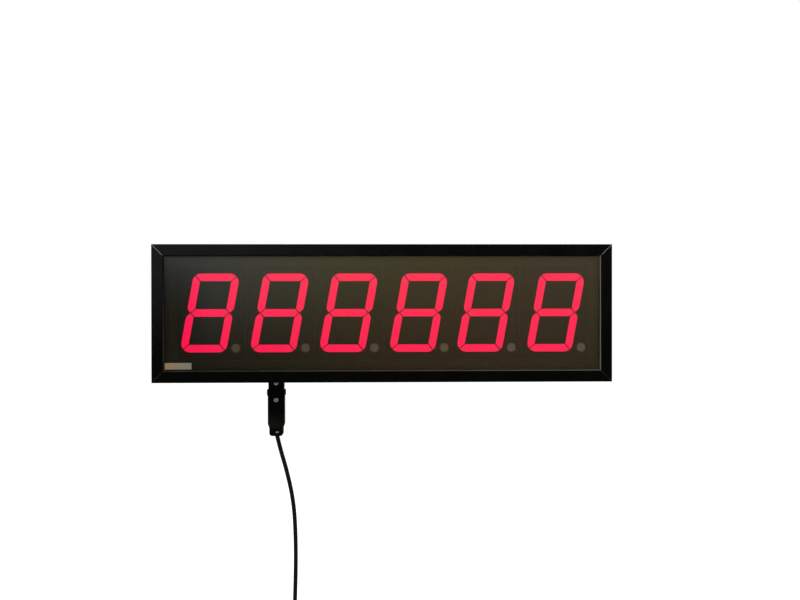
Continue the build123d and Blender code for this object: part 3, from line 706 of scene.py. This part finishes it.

# satin anodised bars, with the bare metal of the saw cuts along the mitres, and painted light towards the
# upper left
frameFinish = {
    "halfWidth": 289.97 * mm,
    "halfHeight": 87.0 * mm,
    "colour": (0.0006, 0.0006, 0.0004),
    "second": (0.0090, 0.0092, 0.0094),
    "side": (0.0085, 0.0085, 0.008),  # behind the front edge
    "cut": (0.34, 0.34, 0.32),
    "cutWidth": 0.28 * mm,
    "cutWander": (0.3, 1.5),  # times the width
    "cutNoise": (400, 3),
    "cutFade": (0.08, 1, -0.05, 0.05),
    # painted light: these runs in x and z make the upper left paler
    "left": (0.98, 0.15, -0.24, 0.06),
    "up": (0, 1, -0.045, 0.05),
    "behind": (0, 1, -0.0746, -0.0725),
    "mottle": 0.08,
    "mottleNoise": (25, 5),
    "rough": (0.34, 0.46),
    "roughNoise": (120, 4),
    "gloss": 0.016,
    "bump": (0.15, 0.0001),
    "bumpNoise": (4000, 2),
}


# paler towards the upper left corner, painted light where the lamp falls, and painted shade towards the
# lower right; the cut shows where
# |x| - half width and |z| - half height differ by less than its wandering width, and fades towards the foot
def anodisedWithPaintedLight(finish):
    material, tree, shader = startMaterial("anodised_black")
    x, y, z = ownPlace(tree)
    fromEnd = maths(tree, "SUBTRACT", maths(tree, "ABSOLUTE", x), finish["halfWidth"])
    fromTop = maths(tree, "SUBTRACT", maths(tree, "ABSOLUTE", z), finish["halfHeight"])
    apart = maths(tree, "ABSOLUTE", maths(tree, "SUBTRACT", fromEnd, fromTop))
    wander = spread(tree, noise(tree, *finish["cutNoise"]), *finish["cutWander"])
    onCut = maths(tree, "LESS_THAN", apart, product(tree, wander, finish["cutWidth"]))
    onCut = product(tree, onCut, spread(tree, z, *finish["cutFade"]))
    # painted light, paler at the upper left
    corner = product(tree, spread(tree, x, *finish["left"]), spread(tree, z, *finish["up"]))
    cloud = spread(tree, noise(tree, *finish["mottleNoise"]), -finish["mottle"], finish["mottle"])
    body = mixColour(tree, maths(tree, "ADD", corner, cloud), finish["colour"], finish["second"])
    body = mixColour(tree, spread(tree, y, *finish["behind"]), body, finish["side"])
    tree.links.new(mixColour(tree, onCut, body, finish["cut"]), shader.inputs["Base Color"])
    skin(tree, shader, finish)
    return material


materials["anodised_black"] = anodisedWithPaintedLight(frameFinish)

# smoked window: partly see through, greyer at the upper left and browner at the right, with a painted
# reflection that makes it paler towards the top
windowFinish = {
    # painted reflection: the colours along the top are paler than those at the foot
    # share of the width, then the colour there
    "top": [
        (0.0, (0.040, 0.044, 0.042)),
        (0.1, (0.063, 0.066, 0.060)),
        (0.31, (0.078, 0.072, 0.042)),
        (0.55, (0.074, 0.064, 0.029)),
        (0.78, (0.079, 0.059, 0.028)),
        (1.0, (0.073, 0.055, 0.034)),
    ],
    "foot": [
        (0.08, (0.012, 0.0095, 0.0045)),
        (0.31, (0.020, 0.0145, 0.007)),
        (0.55, (0.036, 0.0225, 0.010)),
        (0.78, (0.046, 0.026, 0.0145)),
        (1.0, (0.038, 0.029, 0.0125)),
    ],
    "across": (0, 1, -0.28, 0.25),
    "up": (0, 1, -0.07, 0.068),
    "steep": (4.6, 1.4, -0.276, -0.225),  # power of the height, steeper at the left end
    "cloud": 0.2,
    "cloudUp": 0.4,  # share of the cloud that moves the colours up and down
    "cloudNoise": (6, 2),
    # the painted shadow of the frame's lip, and where it lies
    "paintedLipShadow": (0.002, 0.002, 0.0015),
    "leftLip": (0.1, 1, -0.2752, -0.2735),
    "topLip": (1, 0.3, 0.0718, 0.0726),
    "rightLip": (1, 0.1, 0.273, 0.2741),
    "rightClear": (0, 1, 0.02, 0.06),
    "cover": 0.6,
    "rough": (0.12, 0.16),
    "roughNoise": (30, 3),
    "gloss": 0.06,
    "bump": (0.04, 0.0005),
    "bumpNoise": (12, 2),
}


# a soft run through the colours of the stops
def colourRun(tree, along, stops):
    ramp = tree.nodes.new("ShaderNodeValToRGB")
    ramp.color_ramp.interpolation = "B_SPLINE"
    while len(ramp.color_ramp.elements) < len(stops):
        ramp.color_ramp.elements.new(0.5)
    for element, (share, colour) in zip(ramp.color_ramp.elements, stops):
        element.position = share
        element.color = (*colour, 1)
    tree.links.new(along, ramp.inputs["Fac"])
    return ramp.outputs["Color"]


# colour runs along the width, and from foot to top by a power of the height, a painted reflection that is
# paler at the top; a painted shadow of the frame's lip darkens it all along the left and the top, and on
# the right below the top third
def smokedWithPaintedLight(finish):
    material, tree, shader = startMaterial("smoked_acrylic")
    x, _, z = ownPlace(tree)
    cloud = mottle(tree, finish["cloud"], *finish["cloudNoise"])
    across = maths(tree, "ADD", spread(tree, x, *finish["across"]), cloud)
    # painted reflection: the height decides how far towards the paler top colours
    up = maths(tree, "POWER", spread(tree, z, *finish["up"]), spread(tree, x, *finish["steep"]))
    up = maths(tree, "ADD", up, product(tree, cloud, finish["cloudUp"]))
    top = colourRun(tree, across, finish["top"])
    foot = colourRun(tree, across, finish["foot"])
    # painted shadow beside the frame's lip; 1 is clear of it
    atRight = maths(tree, "MAXIMUM", spread(tree, x, *finish["rightLip"]),
                    spread(tree, z, *finish["rightClear"]))
    atLeft, atTop = spread(tree, x, *finish["leftLip"]), spread(tree, z, *finish["topLip"])
    outOfPaintedLipShadow = product(tree, atLeft, atTop, atRight)
    colour = mixColour(tree, outOfPaintedLipShadow, finish["paintedLipShadow"], mixColour(tree, up, foot, top))
    tree.links.new(colour, shader.inputs["Base Color"])
    shader.inputs["Alpha"].default_value = finish["cover"]
    skin(tree, shader, finish)
    return material


materials["smoked_acrylic"] = smokedWithPaintedLight(windowFinish)

# lit bars: even red, with a fine mottle of the resin
litFinish = {
    "colour": (0.98, 0.0, 0.07),
    "second": (1.0, 0.0, 0.08),
    "unlit": (0.25, 0.01, 0.02),  # the resin's own colour
    "strength": 5.9,
    "mottleNoise": (350, 4),
    "rough": (0.35, 0.5),
    "roughNoise": (200, 3),
    "bump": (0.2, 0.0002),
    "bumpNoise": (900, 3),
}


# light of two close reds by noise
def lit(finish):
    material, tree, shader = startMaterial("lit_red")
    cloud = spread(tree, noise(tree, *finish["mottleNoise"]), 0, 1)
    red = mixColour(tree, cloud, finish["colour"], finish["second"])
    tree.links.new(red, shader.inputs["Emission Color"])
    shader.inputs["Base Color"].default_value = (*finish["unlit"], 1)
    shader.inputs["Emission Strength"].default_value = finish["strength"]
    skin(tree, shader, finish)
    return material


materials["lit_red"] = lit(litFinish)

# decimal points: clear resin, unlit, warmer towards the right, with a painted glow that stands in for the
# light that falls on them
pointFinish = {
    "left": (0.24, 0.19, 0.13),
    "right": (0.35, 0.28, 0.21),
    "across": (0, 1, -0.2, 0.26),
    # strength of the painted glow
    "paintedGlow": 1.0,
    "mottle": 0.4,
    "mottleNoise": (500, 4),
    "rough": (0.3, 0.45),
    "roughNoise": (300, 3),
    "bump": (0.2, 0.0002),
    "bumpNoise": (1100, 3),
}


# a painted glow, emission in place of the light that falls on them, warmer from left to right, with the
# mottle of the resin
def unlit(finish):
    material, tree, shader = startMaterial("unlit_point")
    cloud = mottle(tree, finish["mottle"], *finish["mottleNoise"])
    across = maths(tree, "ADD", spread(tree, ownPlace(tree)["X"], *finish["across"]), cloud)
    tone = mixColour(tree, across, finish["left"], finish["right"])
    tree.links.new(tone, shader.inputs["Base Color"])
    tree.links.new(tone, shader.inputs["Emission Color"])
    shader.inputs["Emission Strength"].default_value = finish["paintedGlow"]
    skin(tree, shader, finish)
    return material


materials["unlit_point"] = unlit(pointFinish)

# the bare plate: brushed along its length, tan at the left and grey at the right
plateFinish = {
    "left": (0.225, 0.152, 0.062),
    "right": (0.148, 0.145, 0.12),
    "streaks": 0.5,
    "streakNoise": (900, 4, (0.04, 1, 1)),
    "metal": 0.2,
    "rough": (0.35, 0.5),
    "roughNoise": (700, 3, (0.05, 1, 1)),
    "bump": (0.15, 0.0001),
    "bumpNoise": (2500, 2, (0.03, 1, 1)),
}


# a straight run of colour from end to end, moved by noise drawn out along the length
def brushedPlate(finish, label):
    material, tree, shader = startMaterial("label_plate")
    across = spread(tree, ownPlace(tree)["X"], 0, 1, label["low"][0] * mm, label["high"][0] * mm)
    across = maths(tree, "ADD", across, mottle(tree, finish["streaks"], *finish["streakNoise"]))
    tree.links.new(mixColour(tree, across, finish["left"], finish["right"]), shader.inputs["Base Color"])
    skin(tree, shader, finish)
    return material


materials["label_plate"] = brushedPlate(plateFinish, labelSettings)

# every CAD node takes the finish of its slot, and the new pieces the ones named here
for node in cadNodes.values():
    slotName = node.data.materials[0].name.split(".")[0]
    node.data.materials.clear()
    node.data.materials.append(materials[slotName])
newFinishes = {
    "supplyLead": "cable_black",
    "labelPlate": "label_plate",
    "inletScrewHead": "zinc_steel",
    "connectorScrewHead": "zinc_steel",
    "trayScrewHeads": "zinc_steel",
    "clampEnd": "zinc_steel",
    "litBars": "lit_red",
    "digitSheets": "digit_black",
}
for name, finishName in newFinishes.items():
    bpy.data.objects[name].data.materials.append(materials[finishName])
print("finishes set on", len(cadNodes) + len(newFinishes), "pieces")

# floor, background and lamps
stageSettings = {
    "floorLevel": -0.6,
    "floorSize": 14.0,
    "floorColour": (0.82, 0.82, 0.81),
    "floorRough": 0.8,
    "floorGloss": 0.1,
    "skyColour": (1, 0.99, 0.97),
    "ambient": 0.55,
    "glow": (0.02, 0.6),  # near the middle and far from it
    "glowRun": (0.62, 0.84),  # metres from the middle
    "lamps": [  # place, aim, size, watts
        ((-1.3, -1.5, 1.5), (0, 0, 0), 1.4, 26),
        ((1.6, -1.0, 0.6), (0, 0, -0.1), 1.0, 8),
        ((0.2, 1.6, 1.3), (0, 0, 0), 1.6, 22),
    ],
}


# camera, glossy and transmitted rays see white; the rest sees the plain sky
def paintWorld(stage):
    world = bpy.data.worlds.new("studio")
    bpy.context.scene.world = world
    world.use_nodes = True
    tree = world.node_tree
    plain = tree.nodes["Background"]
    plain.inputs["Color"].default_value = (*stage["skyColour"], 1)
    plain.inputs["Strength"].default_value = stage["ambient"]
    white = tree.nodes.new("ShaderNodeBackground")
    white.inputs["Color"].default_value = (1, 1, 1, 1)
    white.inputs["Strength"].default_value = 1
    path = tree.nodes.new("ShaderNodeLightPath")
    seen = maths(tree, "MAXIMUM", path.outputs["Is Camera Ray"], path.outputs["Is Glossy Ray"])
    seen = maths(tree, "MAXIMUM", seen, path.outputs["Is Transmission Ray"])
    mix = tree.nodes.new("ShaderNodeMixShader")
    tree.links.new(seen, mix.inputs["Fac"])
    tree.links.new(plain.outputs["Background"], mix.inputs[1])
    tree.links.new(white.outputs["Background"], mix.inputs[2])
    tree.links.new(mix.outputs["Shader"], tree.nodes["World Output"].inputs["Surface"])


# a matt floor that glows where it is seen, less under the object, so that its shadow stays
def palePaint(stage):
    material, tree, shader = startMaterial("floor_pale")
    shader.inputs["Base Color"].default_value = (*stage["floorColour"], 1)
    shader.inputs["Roughness"].default_value = stage["floorRough"]
    shader.inputs["Specular IOR Level"].default_value = stage["floorGloss"]
    place = tree.nodes.new("ShaderNodeTexCoord")
    fromMiddle = tree.nodes.new("ShaderNodeVectorMath")
    fromMiddle.operation = "LENGTH"
    tree.links.new(place.outputs["Object"], fromMiddle.inputs[0])
    glowHere = spread(tree, fromMiddle.outputs["Value"], *stage["glow"], *stage["glowRun"])
    path = tree.nodes.new("ShaderNodeLightPath")
    viewed = maths(tree, "MAXIMUM", path.outputs["Is Camera Ray"], path.outputs["Is Glossy Ray"])
    glow = tree.nodes.new("ShaderNodeEmission")
    tree.links.new(product(tree, viewed, glowHere), glow.inputs["Strength"])
    both = tree.nodes.new("ShaderNodeAddShader")
    tree.links.new(shader.outputs["BSDF"], both.inputs[0])
    tree.links.new(glow.outputs["Emission"], both.inputs[1])
    tree.links.new(both.outputs["Shader"], tree.nodes["Material Output"].inputs["Surface"])
    return material


paintWorld(stageSettings)

# the floor, a flat grid of nine points and four faces
half = stageSettings["floorSize"] / 2
u, v = np.meshgrid(np.linspace(-half, half, 3), np.linspace(-half, half, 3), indexing="ij")
floorPoints = np.stack([u, v, np.full_like(u, stageSettings["floorLevel"])], -1).reshape(-1, 3)
floorQuads = np.array([[0, 3, 4, 1], [1, 4, 5, 2], [3, 6, 7, 4], [4, 7, 8, 5]])
floorMesh = bpy.data.meshes.new("floor")
floorMesh.from_pydata(floorPoints.tolist(), [], floorQuads.tolist())
floorMesh.update()
floorMesh.materials.append(palePaint(stageSettings))
floor = bpy.data.objects.new("floor", floorMesh)
bpy.context.scene.collection.objects.link(floor)

# square lamps, each turned to look at its aim
for number, (lampPlace, aim, size, watts) in enumerate(stageSettings["lamps"]):
    lampData = bpy.data.lights.new(f"softbox{number}", "AREA")
    lampData.shape = "SQUARE"
    lampData.size = size
    lampData.energy = watts
    lamp = bpy.data.objects.new(f"softbox{number}", lampData)
    lamp.location = lampPlace
    direction = np.array(aim, float) - np.array(lampPlace, float)
    flat = math.hypot(direction[0], direction[1])
    lamp.rotation_euler = (math.atan2(flat, -direction[2]), 0, math.atan2(-direction[0], direction[1]))
    bpy.context.scene.collection.objects.link(lamp)
bpy.context.scene.view_settings.view_transform = "Standard"
print("stage and lamps set")
